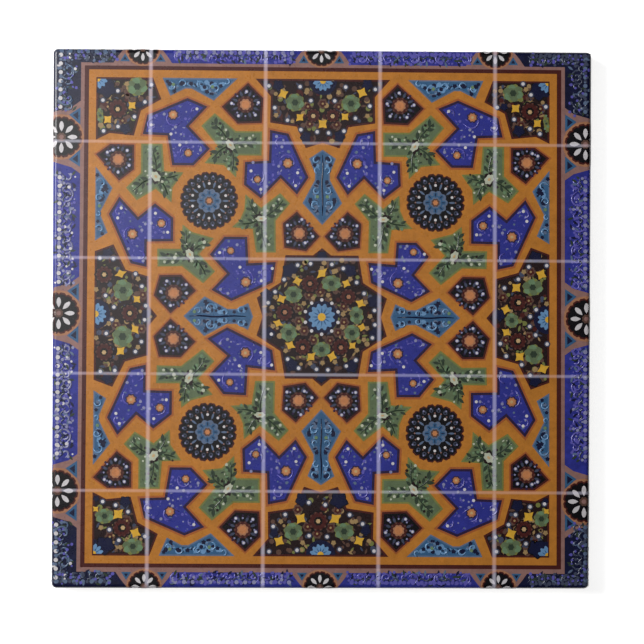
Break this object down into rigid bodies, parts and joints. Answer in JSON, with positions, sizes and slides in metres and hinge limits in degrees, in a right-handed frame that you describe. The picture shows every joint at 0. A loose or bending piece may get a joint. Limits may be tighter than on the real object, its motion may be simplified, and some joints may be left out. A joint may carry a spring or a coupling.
{
  "type": "glazed ceramic tile with a persian pattern",
  "caption": "Square glazed ceramic wall tile with soft face edges, a tapered skirt and a keyed back, its face printed with a Persian strapwork pattern.",
  "frame": {"origin": "middle of the tile's back, on the plane that it lies on", "axes": "+Z out of the glazed face, +X to the right and +Y to the top of the pattern as the face is looked at"},
  "size_m": [0.108, 0.108, 0.006],
  "materials": {
    "glazed_body": "glossy glaze over a printed pattern; bare matt biscuit on the back"
  },
  "bodies": {
    "root": {"tile": "glazed_body"}
  },
  "joints": []
}
